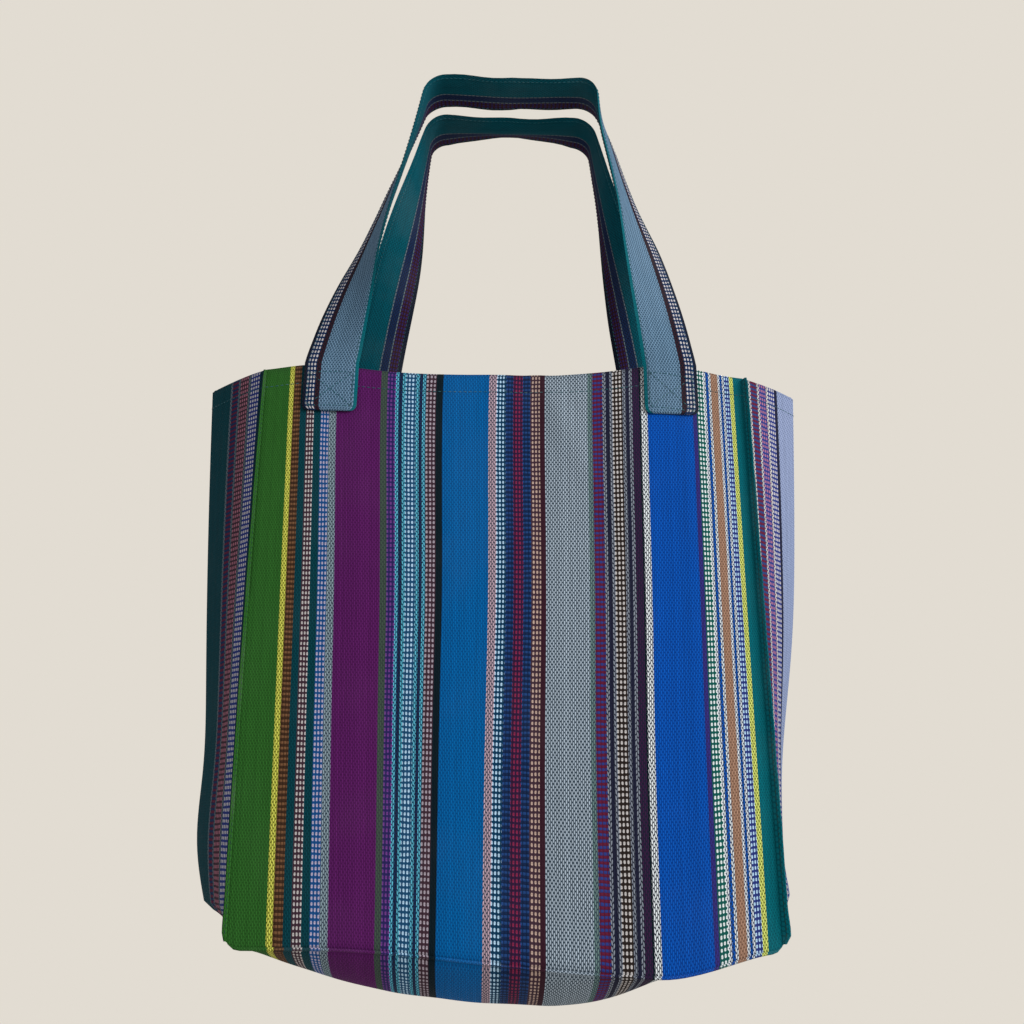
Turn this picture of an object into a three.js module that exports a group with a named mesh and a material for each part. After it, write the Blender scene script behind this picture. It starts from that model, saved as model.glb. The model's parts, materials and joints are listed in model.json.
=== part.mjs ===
// Handwoven striped cotton tote bag, hanging by its two handles.
// Millimetres, +Z up, the front faces -Y. Heights in the functions count from the front
// bottom fold. The exported group is lowered so that the origin is where the handles bear.
import * as THREE from 'three';

// Bag body
const frontWidth = 284;
const bagHeight = 316;
const baseDepth = 95;
const mouthDepth = 60;
const gussetEase = 3;
const closingCurve = 1.1;
const clothThickness = 1.2;
const cornerRise = 25;
const cornerFold = 0.25;

// Sagging base
const baseSag = 28;
const sagCentreX = 22;
const sagFlatLength = 60;
const sagFlatShare = 0.2;

// Stitched folds, hem and side seams
const tuckWidth = 4.5;
const tuckThickness = 1.6;
const hemDepth = 12;
const seamAllowance = 8;
const seamFromFold = 5;

// Handles
const handleWidth = 32;
const handleThickness = 2.4;
const handleDrop = 216;
const handleEndHeight = 29;
const bearingRadius = 13;
const bearingSpacing = 89;
const bearingCentreX = 2.5;
const twistStart = 0.05;
const twistEnd = 0.8;
const leanShare = 0.15;
const stitchInset = 3;
const stitchWidth = 0.8;
const stitchThickness = 0.5;
const handles = {
  front: { face: -1, leftX: -103, rightX: 98, topY: -15 },
  back: { face: 1, leftX: -87, rightX: 94, topY: 25 },
};

// Clearances
const clothGap = 0.3;
const bottomGap = 0.6;
const cornerSeat = 1.5;
const hingeGap = 1;

const halfWidth = frontWidth / 2;
const frontY = -mouthDepth / 2;
const gussetHalf = (baseDepth + gussetEase) / 2;
const bearingHeight = bagHeight + handleDrop;
const sides = { left: -1, right: 1 };
const faces = { front: -1, back: 1 };

const cloth = (color) => new THREE.MeshStandardMaterial({ color, roughness: 0.88, metalness: 0 });
const looks = {
  panel: cloth(0x2f4f86),
  backPanel: cloth(0x35507c),
  gusset: cloth(0x4a3f63),
  base: cloth(0x39456b),
  tuck: cloth(0x0f5566),
  hem: cloth(0x2a4570),
  seam: cloth(0x3b3a55),
  strap: cloth(0x5f7fa0),
  strapEnd: cloth(0x6c89a6),
  thread: cloth(0x1d7f93),
};

const smooth = (value) => THREE.MathUtils.smoothstep(value, 0, 1);

// Front to back distance at a height: the base keeps it, the mouth is half closed.
function depthAt(height) {
  const level = Math.min(height / bagHeight, 1);
  return mouthDepth + (baseDepth - mouthDepth) * (1 - Math.max(level, 0) ** closingCurve);
}

function faceY(face, height) {
  return face < 0 ? frontY : frontY + depthAt(height);
}

// How far the gusset's middle fold stands out past the front corner at a height.
function foldOut(height) {
  const open = Math.sqrt(gussetHalf ** 2 - (depthAt(height) / 2) ** 2);
  return open * (cornerFold + (1 - cornerFold) * smooth(height / cornerRise));
}

// Turns every face outward when a placement has mirrored the solid.
function faceOutward(geometry) {
  const position = geometry.attributes.position;
  const index = geometry.index.array;
  const corners = [new THREE.Vector3(), new THREE.Vector3(), new THREE.Vector3()];
  let volume = 0;
  for (let i = 0; i < index.length; i += 3) {
    corners.forEach((corner, k) => corner.fromBufferAttribute(position, index[i + k]));
    volume += corners[0].dot(corners[1].clone().cross(corners[2]));
  }
  if (volume < 0) {
    for (let i = 0; i < index.length; i += 3) {
      [index[i + 1], index[i + 2]] = [index[i + 2], index[i + 1]];
    }
  }
}

// A closed box whose along, across and through stations, each 0 to 1, are placed one by one.
function clothSolid(alongSteps, acrossSteps, place) {
  const geometry = new THREE.BoxGeometry(1, 1, 1, alongSteps, acrossSteps, 1);
  const position = geometry.attributes.position;
  for (let i = 0; i < position.count; i += 1) {
    const target = place(position.getX(i) + 0.5, position.getY(i) + 0.5, position.getZ(i) + 0.5);
    position.setXYZ(i, target.x, target.y, target.z);
  }
  faceOutward(geometry);
  geometry.computeVertexNormals();
  return geometry;
}

function named(name, geometry, material) {
  const mesh = new THREE.Mesh(geometry, material);
  mesh.name = name;
  return mesh;
}

// Front or back panel between two heights, in one layer of cloth counted inward from the outside.
function panelLayer(face, halfSpan, low, high, layer) {
  const offset = layer * (clothThickness + clothGap);
  return clothSolid(4, 20, (along, across, through) => {
    const height = THREE.MathUtils.lerp(low, high, across);
    const inward = offset + through * clothThickness;
    const x = THREE.MathUtils.lerp(-halfSpan, halfSpan, along);
    return new THREE.Vector3(x, faceY(face, height) - face * inward, height);
  });
}

// A point of the gusset half that runs from a corner to the middle fold.
// run is measured along the cloth from the corner, inward through the cloth.
function gussetFrame(face, height) {
  const corner = new THREE.Vector2(halfWidth, faceY(face, height));
  const fold = new THREE.Vector2(halfWidth + foldOut(height), frontY + depthAt(height) / 2);
  const direction = fold.clone().sub(corner).normalize();
  const inner = new THREE.Vector2(-Math.abs(direction.y), -face * direction.x);
  return { corner, fold, direction, inner };
}

function gussetLayer(side, face, size) {
  return clothSolid(2, 24, (along, across, through) => {
    const height = THREE.MathUtils.lerp(size.low, size.high, across);
    const { corner, fold, direction, inner } = gussetFrame(face, height);
    const inward = size.layer * (clothThickness + clothGap) + through * clothThickness;
    const start = corner.clone().addScaledVector(inner, inward);
    const meetY = fold.y + face * clothGap / 2;
    const end = (meetY - start.y) / direction.y - size.fromFold;
    const from = size.width ? end - size.width : size.fromCorner;
    const point = start.addScaledVector(direction, THREE.MathUtils.lerp(from, end, along));
    return new THREE.Vector3(side * point.x, point.y, height);
  });
}

// The narrow stitched ridge that stands out along a vertical corner.
function cornerTuck(side, face) {
  return clothSolid(1, 24, (along, across, through) => {
    const height = THREE.MathUtils.lerp(bottomGap, bagHeight, across);
    const { corner, inner } = gussetFrame(face, height);
    const out = new THREE.Vector2(0, face).sub(inner).normalize();
    const flank = new THREE.Vector2(out.y, -out.x);
    const point = corner.clone().addScaledVector(out, clothGap + along * tuckWidth);
    point.addScaledVector(flank, (through - 0.5) * tuckThickness);
    return new THREE.Vector3(side * point.x, point.y, height);
  });
}

// The stitched ridge along the front or back bottom fold.
function baseTuck(face) {
  const halfSpan = halfWidth - tuckThickness - bottomGap;
  return clothSolid(8, 1, (along, across, through) => {
    const out = clothGap + across * tuckWidth;
    const flank = (through - 0.5) * tuckThickness;
    const y = faceY(face, 0) + face * (out + flank) * Math.SQRT1_2;
    const x = THREE.MathUtils.lerp(-halfSpan, halfSpan, along);
    return new THREE.Vector3(x, y, (flank - out) * Math.SQRT1_2);
  });
}

// Hammock-shaped base: ramps from the ends and folds down to a flat middle.
function basePanel() {
  const endX = halfWidth - clothThickness - 2 * clothGap;
  const edge = clothThickness + clothGap;
  const flatFrom = sagCentreX - sagFlatLength / 2;
  const flatTo = sagCentreX + sagFlatLength / 2;
  const rampSteps = 8;
  const flatSteps = 4;
  const steps = 2 * rampSteps + flatSteps;
  return clothSolid(steps, 10, (along, across, through) => {
    const station = along * steps;
    const toFlat = Math.min(station, steps - station) / rampSteps;
    const lengthShare = Math.min(toFlat, 1);
    let x = THREE.MathUtils.lerp(-endX, flatFrom, lengthShare);
    if (station > rampSteps + flatSteps) {
      x = THREE.MathUtils.lerp(endX, flatTo, lengthShare);
    } else if (station > rampSteps) {
      x = THREE.MathUtils.lerp(flatFrom, flatTo, (station - rampSteps) / flatSteps);
    }
    const depthShare = Math.min((1 - Math.abs(2 * across - 1)) / (1 - sagFlatShare), 1);
    const y = THREE.MathUtils.lerp(frontY + edge, faceY(1, 0) - edge, across);
    return new THREE.Vector3(x, y, through * clothThickness - baseSag * lengthShare * depthShare);
  });
}

// Sewn end of a handle, flat against the outside of its panel.
function handleEnd(face, centreX) {
  return clothSolid(2, 6, (along, across, through) => {
    const height = THREE.MathUtils.lerp(bagHeight - handleEndHeight, bagHeight - clothGap, across);
    const out = clothGap + through * handleThickness;
    const x = centreX + (along - 0.5) * handleWidth;
    return new THREE.Vector3(x, faceY(face, height) + face * out, height);
  });
}

// Square of thread that holds a handle's end, lying on its outer face.
function boxStitch(face, centreX) {
  const halfX = handleWidth / 2 - stitchInset;
  const low = bagHeight - handleEndHeight + stitchInset;
  const high = bagHeight - hemDepth / 2;
  const outline = (inset) => [
    new THREE.Vector2(-halfX + inset, low + inset),
    new THREE.Vector2(halfX - inset, low + inset),
    new THREE.Vector2(halfX - inset, high - inset),
    new THREE.Vector2(-halfX + inset, high - inset),
  ];
  const square = new THREE.Shape(outline(0));
  square.holes.push(new THREE.Path(outline(stitchWidth)));
  const geometry = new THREE.ExtrudeGeometry(square, { depth: stitchThickness, bevelEnabled: false });
  const position = geometry.attributes.position;
  const lift = 2 * clothGap + handleThickness;
  for (let i = 0; i < position.count; i += 1) {
    const height = position.getY(i);
    const y = faceY(face, height) + face * (lift + position.getZ(i));
    position.setXYZ(i, centreX - face * position.getX(i), y, height);
  }
  geometry.computeVertexNormals();
  return geometry;
}

// One side of a handle's path in its own plane, from the panel's top edge to the middle of its top.
function handleSide(side, endX) {
  const radius = bearingRadius + handleThickness / 2;
  const centre = new THREE.Vector2(side * bearingSpacing / 2 + bearingCentreX, bearingHeight - bearingRadius);
  const start = new THREE.Vector2(endX, bagHeight + hingeGap);
  const away = start.clone().sub(centre);
  const reach = Math.acos(radius / away.length());
  const touch = Math.atan2(away.y, side * away.x) + reach;
  const lineSteps = 12;
  const arcSteps = 6;
  const points = [];
  const onArc = (angle) => new THREE.Vector2(
    centre.x + side * radius * Math.cos(angle),
    centre.y + radius * Math.sin(angle),
  );
  for (let i = 0; i < lineSteps; i += 1) {
    points.push(start.clone().lerp(onArc(touch), i / lineSteps));
  }
  for (let i = 0; i <= arcSteps; i += 1) {
    points.push(onArc(THREE.MathUtils.lerp(touch, Math.PI / 2, i / arcSteps)));
  }
  return points;
}

// A flat strap that leaves the bag facing it, turns a quarter, and lies flat over its bearings.
function handleLoop({ face, leftX, rightX, topY }) {
  const path = [...handleSide(-1, leftX), ...handleSide(1, rightX).reverse()];
  const steps = path.length - 1;
  const baseY = faceY(face, bagHeight) + face * (clothGap + handleThickness / 2);
  return clothSolid(steps, 2, (along, across, through) => {
    const i = Math.round(along * steps);
    const before = path[Math.max(i - 1, 0)];
    const after = path[Math.min(i + 1, steps)];
    const rise = (path[i].y - bagHeight - hingeGap) / handleDrop;
    const upright = new THREE.Vector2(0, i < steps / 2 ? 1 : -1);
    const tangent = upright.lerp(after.clone().sub(before).normalize(), smooth(rise / leanShare));
    tangent.normalize();
    const turn = smooth((rise - twistStart) / (twistEnd - twistStart)) * Math.PI / 2;
    const plane = new THREE.Vector3(-tangent.y, 0, tangent.x);
    const width = plane.clone().multiplyScalar(face * Math.cos(turn));
    width.y -= Math.sin(turn);
    const normal = plane.multiplyScalar(Math.sin(turn));
    normal.y += face * Math.cos(turn);
    const y = THREE.MathUtils.lerp(baseY, topY, smooth(rise));
    return new THREE.Vector3(path[i].x, y, path[i].y)
      .addScaledVector(width, (across - 0.5) * handleWidth)
      .addScaledVector(normal, (through - 0.5) * handleThickness);
  });
}

const bag = new THREE.Group();
bag.position.z = -bearingHeight;

const panelSpan = halfWidth - cornerSeat;
const hemSpan = halfWidth - 2 * cornerSeat - clothThickness;
const hemLow = bagHeight - hemDepth;
for (const [faceName, face] of Object.entries(faces)) {
  const look = face < 0 ? looks.panel : looks.backPanel;
  const panel = panelLayer(face, panelSpan, bottomGap, bagHeight, 0);
  bag.add(named(`${faceName}_panel`, panel, look));
  bag.add(named(`${faceName}_hem`, panelLayer(face, hemSpan, hemLow, bagHeight, 1), looks.hem));
  bag.add(named(`${faceName}_base_tuck`, baseTuck(face), looks.tuck));
  for (const [sideName, side] of Object.entries(sides)) {
    const place = `${faceName}_${sideName}`;
    const whole = { low: bottomGap, high: bagHeight, layer: 0, fromCorner: cornerSeat, fromFold: 0 };
    const band = { low: hemLow, high: bagHeight, layer: 1, fromCorner: 3 * cornerSeat, fromFold: clothGap };
    bag.add(named(`${place}_gusset`, gussetLayer(side, face, whole), looks.gusset));
    bag.add(named(`${place}_gusset_hem`, gussetLayer(side, face, band), looks.hem));
    bag.add(named(`${place}_corner_tuck`, cornerTuck(side, face), looks.tuck));
  }
}
bag.add(named('base_panel', basePanel(), looks.base));

for (const [sideName, side] of Object.entries(sides)) {
  const seam = {
    low: cornerRise,
    high: hemLow - clothGap,
    layer: 1,
    width: seamAllowance,
    fromFold: seamFromFold,
  };
  bag.add(named(`${sideName}_side_seam`, gussetLayer(side, faces.front, seam), looks.seam));
}

for (const [faceName, handle] of Object.entries(handles)) {
  const ends = { left: handle.leftX, right: handle.rightX };
  for (const [sideName, centreX] of Object.entries(ends)) {
    const place = `${faceName}_${sideName}`;
    bag.add(named(`${place}_handle_end`, handleEnd(handle.face, centreX), looks.strapEnd));
    bag.add(named(`${place}_box_stitch`, boxStitch(handle.face, centreX), looks.thread));
  }
  bag.add(named(`${faceName}_handle_loop`, handleLoop(handle), looks.strap));
}

export default bag;
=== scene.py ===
import json
import math

import bmesh
import bpy
from mathutils import Matrix, Vector, noise

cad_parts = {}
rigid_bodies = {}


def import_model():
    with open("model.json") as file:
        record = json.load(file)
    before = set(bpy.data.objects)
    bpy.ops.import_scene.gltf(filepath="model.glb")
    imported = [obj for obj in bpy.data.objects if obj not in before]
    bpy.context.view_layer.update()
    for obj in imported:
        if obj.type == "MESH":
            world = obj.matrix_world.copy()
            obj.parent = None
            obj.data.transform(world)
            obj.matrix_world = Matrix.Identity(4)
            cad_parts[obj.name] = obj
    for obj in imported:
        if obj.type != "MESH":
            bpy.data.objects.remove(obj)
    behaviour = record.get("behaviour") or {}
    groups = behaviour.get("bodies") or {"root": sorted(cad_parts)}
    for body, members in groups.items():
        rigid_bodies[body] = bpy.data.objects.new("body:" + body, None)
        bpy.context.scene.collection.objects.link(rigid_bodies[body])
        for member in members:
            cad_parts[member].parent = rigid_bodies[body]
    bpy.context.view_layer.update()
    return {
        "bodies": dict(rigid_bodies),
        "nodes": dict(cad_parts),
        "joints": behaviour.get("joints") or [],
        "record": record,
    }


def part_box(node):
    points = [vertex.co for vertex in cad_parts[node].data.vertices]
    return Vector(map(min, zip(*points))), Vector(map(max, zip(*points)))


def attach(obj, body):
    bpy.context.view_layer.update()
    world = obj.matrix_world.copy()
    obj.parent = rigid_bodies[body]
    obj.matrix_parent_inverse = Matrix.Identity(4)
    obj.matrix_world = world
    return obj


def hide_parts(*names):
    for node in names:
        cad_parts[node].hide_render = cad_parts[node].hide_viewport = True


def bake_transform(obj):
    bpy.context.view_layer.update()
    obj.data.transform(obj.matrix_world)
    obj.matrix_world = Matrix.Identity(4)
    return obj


# Handwoven striped cotton tote, hanging by its two straps. Metres, front towards -Y.
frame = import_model()
print("frame loaded:", len(frame["nodes"]), "nodes")

mm = 0.001
faceNames, sideNames = {-1: "front", 1: "back"}, {-1: "left", 1: "right"}


def easing(value):
    value = min(max(value, 0.0), 1.0)
    return value * value * (3 - 2 * value)


def mixed(a, b, share):
    return a + (b - a) * share


def yarn(red, green, blue):
    # dye colours are noted as screen values from 0 to 255
    shares = [value / 255 for value in (red, green, blue)]
    return [value / 12.92 if value < 0.04 else ((value + 0.055) / 1.055) ** 2.4 for value in shares]


# weaver's draft
# weave kinds: plain, check, bars, dots and twist, in the order that the material knows them
weaveKinds = {"plain": 0.0, "check": 1.0, "bars": 2.0, "dots": 3.0, "twist": 4.0}


def yarnsOf(text):
    # each entry is a name and its screen values
    entries = [entry.split() for entry in text.split(", ")]
    return {name: yarn(*(int(value) for value in values)) for name, *values in entries}


# The darker partner yarns of the plain stripes (the deep green, moss, purple, cerulean, cobalt, sand and
# teal, the strap's inner gap teal, and tealNight where it partners tealDark) are darker copies of their
# stripe's yarn, shown in the hollows between the floats: painted shade, with a little of the dark weft
# showing through.
yarns = yarnsOf(
    "green 42 94 36, greenDeep 34 78 28, yellow 206 208 92, olive 106 108 22, orange 108 76 52, "
    "brownDark 58 38 26, tealDark 4 60 70, tealNight 0 48 58, white 188 184 184, chalk 214 222 226, "
    "maroon 64 44 56, skyBlue 24 76 134, blush 172 164 188, greyTeal 134 154 164, slate 44 58 76, "
    "purple 84 26 90, purpleDeep 70 18 74, moss 58 76 64, mossDeep 50 60 60, violet 44 36 92, "
    "magenta 106 58 132, cyan 86 172 196, cyanDeep 8 56 88, navy 18 42 80, ice 172 206 232, "
    "blueGrey 28 76 114, mauve 162 152 164, black 8 24 32, cerulean 0 92 156, ceruleanDeep 0 72 132, "
    "pink 182 156 170, denim 28 60 112, navyBlue 16 34 68, crimson 124 36 70, plum 48 24 56, "
    "oatmeal 178 154 142, wine 50 24 36, silver 156 170 184, graphite 50 66 80, fern 98 124 122, "
    "indigo 40 54 120, burgundy 88 24 50, ash 122 130 142, ink 26 28 48, coffee 42 34 32, "
    "cobalt 6 78 168, cobaltDeep 0 54 134, iris 46 42 118, mint 14 86 80, sand 158 124 104, "
    "sandDeep 112 82 66, lemon 214 226 122, teal 2 100 112, tealDeep 0 82 94, rose 162 104 122, "
    "haze 144 158 190, hazeDeep 96 108 144, strapBlue 106 136 162, strapDeep 52 80 104, "
    "line 92 104 112, strapTeal 0 78 92, strapTealDeep 0 60 72"
)


def draftOf(text):
    # each entry has its warp ends, its kind and its two yarns
    entries = [entry.split() for entry in text.split(", ")]
    return [(int(ends), kind, first, second) for ends, kind, first, second in entries]


# in most plain stripes the second yarn fills the hollows between the floats with a darker copy of the first:
# painted shade
frontDraft = draftOf(  # from the left ridge to the right one
    "25 plain green greenDeep, 4 twist yellow olive, 6 bars orange brownDark, "
    "5 plain tealDark tealNight, 6 dots white maroon, 5 plain tealDark tealNight, "
    "6 dots blush skyBlue, 5 twist greyTeal slate, 28 plain purple purpleDeep, 4 plain moss mossDeep, "
    "5 dots magenta violet, 2 twist cyan cyanDeep, 2 plain navy ink, 2 twist cyan cyanDeep, "
    "6 dots ice blueGrey, 2 twist cyan cyanDeep, 2 plain navy ink, 2 twist cyan cyanDeep, "
    "6 dots mauve maroon, 4 plain black black, 28 plain cerulean ceruleanDeep, 5 twist pink slate, "
    "6 dots ice cyanDeep, 5 bars denim navyBlue, 6 dots crimson plum, 5 bars denim navyBlue, "
    "6 dots oatmeal maroon, 3 plain wine wine, 26 check silver graphite, 3 twist fern graphite, "
    "6 bars indigo burgundy, 2 twist ash ink, 2 plain ink ink, 2 twist ash ink, 6 dots white coffee, "
    "2 twist ash ink, 2 plain ink ink, 2 twist ash ink, 4 plain plum ink, 1 plain black black, "
    "4 twist chalk ink, 30 plain cobalt cobaltDeep, 3 plain iris violet, 6 dots chalk mint, "
    "2 twist chalk navy, 2 plain cobalt navy, 2 twist chalk navy, 6 plain sand sandDeep, "
    "2 twist chalk navy, 2 plain cobalt navy, 2 twist chalk navy, 5 dots ice indigo, "
    "4 twist lemon olive, 12 plain teal tealDeep"
)
leftGussetDraft = draftOf(  # from the corner to the middle fold
    "4 plain tealNight black, 8 dots white indigo, 2 plain line slate, 8 dots rose maroon, "
    "2 plain line slate, 6 bars burgundy navy, 2 plain line slate, 22 plain tealDark tealNight"
)
rightGussetDraft = draftOf(  # from the corner to the middle fold
    "4 plain teal tealDeep, 2 plain white slate, 6 bars denim burgundy, 2 plain white slate, "
    "7 dots rose indigo, 2 plain white slate, 7 dots white indigo, 3 plain ink ink, "
    "21 check haze hazeDeep"
)
strapOuterDraft = draftOf(  # from the outer edge to the teal edge
    "2 plain ink black, 6 dots white navy, 3 plain wine black, 22 check strapBlue strapDeep, "
    "2 plain teal tealDeep"
)
# the inner teal is darker than its yarn, standing in for the shade under the top of the handle: painted
# shade
strapInnerDraft = draftOf(  # from the teal edge to the outer edge
    "19 plain strapTeal strapTealDeep, 1 plain line slate, 5 plain navy ink, 1 plain line slate, "
    "6 dots violet wine, 3 plain ink black"
)


class Column:
    # one lengthwise strip of a cloth mesh, with the stripe it belongs to
    def __init__(self, start, end, stripe):
        self.start, self.end, self.stripe = start, end, stripe


def columnsOf(draft, width, widest=4.2 * mm):
    pitch = width / sum(stripe[0] for stripe in draft)
    columns, at = [], 0.0
    for stripe in draft:
        span = stripe[0] * pitch
        parts = max(1, math.ceil(span / widest))
        for part in range(parts):
            columns.append(Column(at + span * part / parts, at + span * (part + 1) / parts, stripe))
        at += span
    return columns


# shape of the bag
frontLow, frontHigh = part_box("front_panel")
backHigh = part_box("back_panel")[1]
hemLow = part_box("back_hem")[0]

bag = {
    "halfWidth": frontHigh.x + 1.5 * mm,
    "bottomZ": frontLow.z - 0.6 * mm,
    "topZ": frontHigh.z,
    "frontY": frontLow.y,
    "baseDepth": backHigh.y - frontLow.y,
    "mouthDepth": hemLow.y + 2.7 * mm - frontLow.y,
    "gussetHalf": 49 * mm,
    "closingCurve": 1.1,
    "cornerRise": 25 * mm,
    "panelWave": 2.4 * mm,
    "waveSize": 0.055,
    "crinkleSize": 0.022,
    "driftSize": 0.07,
    "pillow": 2.6 * mm,
    "slantFold": {"x": 0.018, "slope": 0.42, "reach": 0.006},
    "frontDrop": {"depth": 12.5 * mm, "begin": (-0.1, 0.185), "end": (0.073, 0.069)},
    "backDrop": 3 * mm,
    "sag": {"depth": 31 * mm, "x": 0.022, "left": 0.172, "right": 0.085},
    "gussetBumps": {
        -1: ((6 * mm, 48 * mm, 38 * mm),),
        1: ((4 * mm, 22 * mm, 14 * mm), (-5.5 * mm, 92 * mm, 60 * mm)),
    },
    "stripeDrift": 1.5 * mm,
    "handleLift": {-1: 5 * mm, 1: 8 * mm},
    "handleAt": {-1: -0.100, 1: 0.086},
    "handleReach": 0.033,
    "mouthDip": 2 * mm,
    "stripeSpread": {-1: (-2.4 * mm, 13.1 * mm, 1.5), 1: (6.2 * mm, 4.2 * mm, 1.7)},
    "cornerPull": 6.0 * mm,
    "pullPower": 1.6,
    "cornerLift": 3.2 * mm,
    "cornerRound": 7.0 * mm,
    "clothThickness": 1.0 * mm,
    "panelRows": 64,
}
bag["height"] = bag["topZ"] - bag["bottomZ"]


def depthAt(height):
    level = min(max(height / bag["height"], 0.0), 1.0)
    return bag["mouthDepth"] + (bag["baseDepth"] - bag["mouthDepth"]) * (1 - level ** bag["closingCurve"])


def foldOut(height):
    return math.sqrt(bag["gussetHalf"] ** 2 - (depthAt(height) / 2) ** 2)


def soft(x, z, seed, size):
    return noise.noise(Vector((x / size, z / (size * 2.2), seed)))


def creaseDrop(x, face):
    # the bottom fold hangs lowest right of the middle
    if face > 0:
        return -bag["backDrop"] * (1 - (x / bag["halfWidth"]) ** 2)
    drop = bag["frontDrop"]
    (begin, beginRun), (end, endRun) = drop["begin"], drop["end"]
    return -drop["depth"] * easing((x - begin) / beginRun) * (1 - easing((x - end) / endRun))


def topLift(x):
    # the handles draw the mouth up
    lifts = [
        bag["handleLift"][side] * math.exp(-(((x - bag["handleAt"][side]) / bag["handleReach"]) ** 2))
        for side in (-1, 1)
    ]
    return sum(lifts) - bag["mouthDip"]


def panelPoint(face, x, height):
    share = height / bag["height"]
    inside = 1 - (abs(x) / bag["halfWidth"]) ** 6
    level = math.sin(math.pi * min(max(share, 0.0), 1.0)) ** 0.5 if 0 < share < 1 else 0
    top = easing((share - 0.55) / 0.45)
    wave = soft(x, height, 3.1 + face, bag["waveSize"]) * (0.45 * level + 0.55 * top)
    wave += 0.5 * soft(x, height, 8.7 + face, bag["crinkleSize"]) * top
    slant = bag["slantFold"]
    fromFold = (x - slant["x"] - (bag["height"] - height) * slant["slope"]) / slant["reach"]
    fold = math.exp(-(fromFold ** 2)) * easing((share - 0.68) / 0.2)
    wave += 0.5 * fold * (1 if face < 0 else 0)
    pillow = bag["pillow"] * level * (1 - (x / bag["halfWidth"]) ** 2)
    base = bag["frontY"] if face < 0 else bag["frontY"] + depthAt(height)
    y = base + face * (bag["panelWave"] * wave + pillow * 0.5) * inside
    drift = bag["stripeDrift"] * soft(x, height, 5.5, bag["driftSize"]) * inside * level
    if face < 0:
        # the stripes crowd towards the corners, most of all near the mouth
        side = -1 if x < 0 else 1
        low, rise, power = bag["stripeSpread"][side]
        level = min(max(share, 0.0), 1.0)
        drift += side * (low + rise * level) * math.sin(math.pi * (abs(x) / bag["halfWidth"]) ** power)
    # the sagging base draws the left bottom corners in
    drift += bag["cornerPull"] * max(-x / bag["halfWidth"], 0.0) ** 4 * (1 - share) ** bag["pullPower"]
    z = bag["bottomZ"] + height + creaseDrop(x, face) * (1 - share) ** 3 + topLift(x) * max(share, 0.0) ** 4
    # the bottom corners are rounded off
    nearCorner = max(abs(x) - bag["halfWidth"] + bag["cornerRound"], 0.0) / bag["cornerRound"]
    z += bag["cornerLift"] * nearCorner ** 2 * (1 - easing(height / (3 * bag["cornerRound"])))
    return Vector((x + drift, y, z))


def sagAt(x):
    # depth of the hammock under the bottom folds
    sag = bag["sag"]
    reach = sag["left"] if x < sag["x"] else sag["right"]
    return sag["depth"] * max(0.0, 1 - (abs(x - sag["x"]) / reach) ** 2)


def basePoint(x, across):
    # across runs from the front fold, 0, to the back one, 1
    front, back = panelPoint(-1, x, 0), panelPoint(1, x, 0)
    point = front.lerp(back, across)
    edge = 1 - (abs(x) / bag["halfWidth"]) ** 10
    folds = -mixed(creaseDrop(x, -1), creaseDrop(x, 1), across)
    sag = max(sagAt(x) - folds, 0.0) * edge
    point.z -= sag * math.sin(math.pi * across) ** 0.75 if 0 < across < 1 else 0
    point.z -= 1.4 * mm * soft(x, across * 0.09, 2.2, 0.03) * edge * math.sin(math.pi * across)
    return point


def lowerFold(side, height):
    # near the base the left gusset stands out a little and the right one folds in, then out
    bumps = bag["gussetBumps"][side]
    out = sum(size * math.exp(-(((height - level) / reach) ** 2)) for size, level, reach in bumps)
    if side < 0:
        out += bag["cornerPull"] * (1 - height / bag["height"]) ** bag["pullPower"]
    return out


def foldPoint(side, height):
    share = height / bag["height"]
    corner = basePoint(side * bag["halfWidth"], 0.5)
    front, back = (panelPoint(face, side * bag["halfWidth"], height) for face in (-1, 1))
    middle = front.lerp(back, 0.5)
    rise = bag["cornerRise"] * (0.8 if side < 0 else 1)
    middle.x += side * (foldOut(height) + lowerFold(side, height)) * easing(height / rise)
    middle.z += (1.5 * mm if side > 0 else -1 * mm) * share ** 4
    return corner if height <= 0 else middle


def gussetPoint(side, face, run, height):
    # run goes from the corner, 0, to the middle fold, 1
    corner = panelPoint(face, side * bag["halfWidth"], height)
    point = corner.lerp(foldPoint(side, height), run)
    if height > 0:
        bulge = easing(height / bag["cornerRise"]) * 4 * run * (1 - run)
        crumple = 1 + 0.7 * soft(run * 0.05, height, 4.4 + side + face, 0.05)
        out = 1.6 * mm * bulge * crumple
        point.x += side * out * 0.7
        point.y += face * out * 0.6
    return point


# cloth meshes
def clothGrid(columns, rows, place, lengths):
    # a create_grid sheet whose stations are placed one by one; each face keeps its stripe
    mesh = bmesh.new()
    across, along = len(columns), len(rows) - 1
    bmesh.ops.create_grid(mesh, x_segments=across, y_segments=along, size=0.5)
    uvLayer = mesh.loops.layers.uv.new("weaveUV")
    warpA = mesh.faces.layers.float_color.new("warpA")
    warpB = mesh.faces.layers.float_color.new("warpB")
    kindLayer = mesh.faces.layers.float.new("weaveKind")
    station = {}
    for vert in mesh.verts:
        station[vert] = (round((vert.co.x + 0.5) * across), round((vert.co.y + 0.5) * along))
    for face in mesh.faces:
        first = min(station[vert][0] for vert in face.verts)
        kind, nameA, nameB = columns[first].stripe[1:]
        face[warpA] = (*yarns[nameA], 1)
        face[warpB] = (*yarns[nameB], 1)
        face[kindLayer] = weaveKinds[kind]
        face.smooth = True
        for loop in face.loops:
            i, j = station[loop.vert]
            u = columns[i].start if i < across else columns[-1].end
            loop[uvLayer].uv = (u, lengths[j])
    for vert in mesh.verts:
        vert.co = place(*station[vert])
    return mesh


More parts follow.
